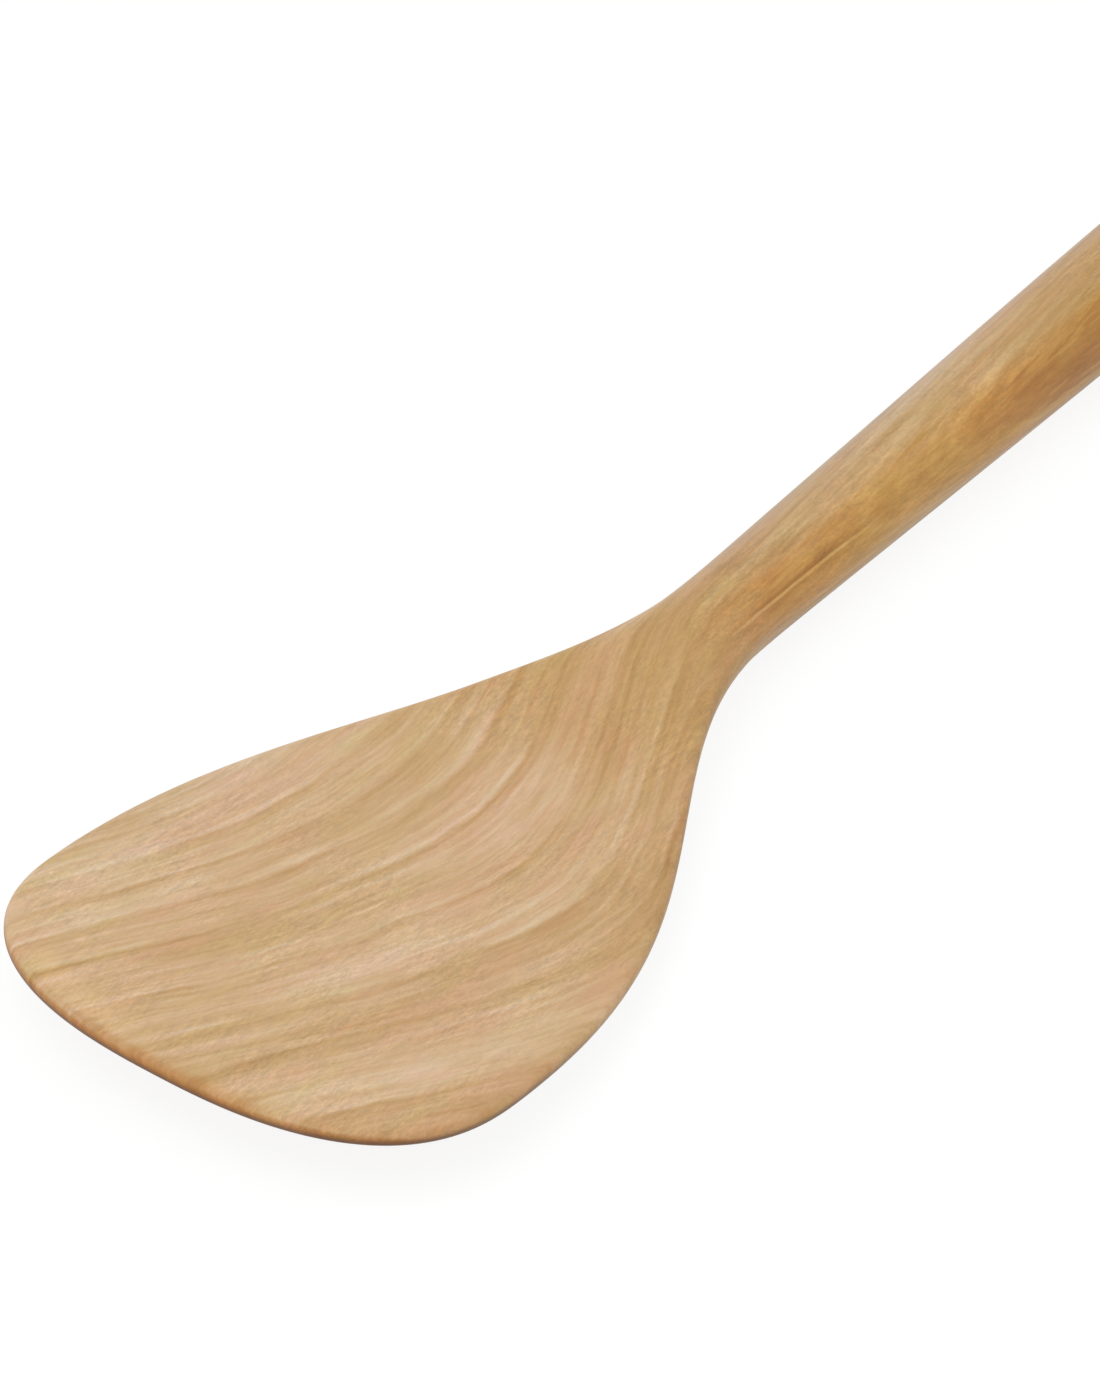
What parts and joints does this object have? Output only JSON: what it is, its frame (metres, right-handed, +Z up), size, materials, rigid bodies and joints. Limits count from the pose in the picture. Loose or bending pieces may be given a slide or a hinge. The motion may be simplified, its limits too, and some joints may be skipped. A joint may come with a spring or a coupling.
{
  "type": "wooden turner",
  "caption": "One-piece wooden turner: broad, thin, gently dished blade with a slightly bowed front edge, a scooped neck and a round tapering handle, for lifting and turning food in a pan.",
  "frame": {"origin": "middle of the turner's length and width, on the table that it lies on", "axes": "+X runs from the blade's front edge to the handle's butt, +Z up from the table through the blade's upper face, and +Y across the blade"},
  "size_m": [0.33, 0.0904, 0.0203],
  "materials": {
    "wood": "oiled satin, open grain"
  },
  "bodies": {
    "root": {"wooden_turner": "wood"}
  },
  "joints": []
}
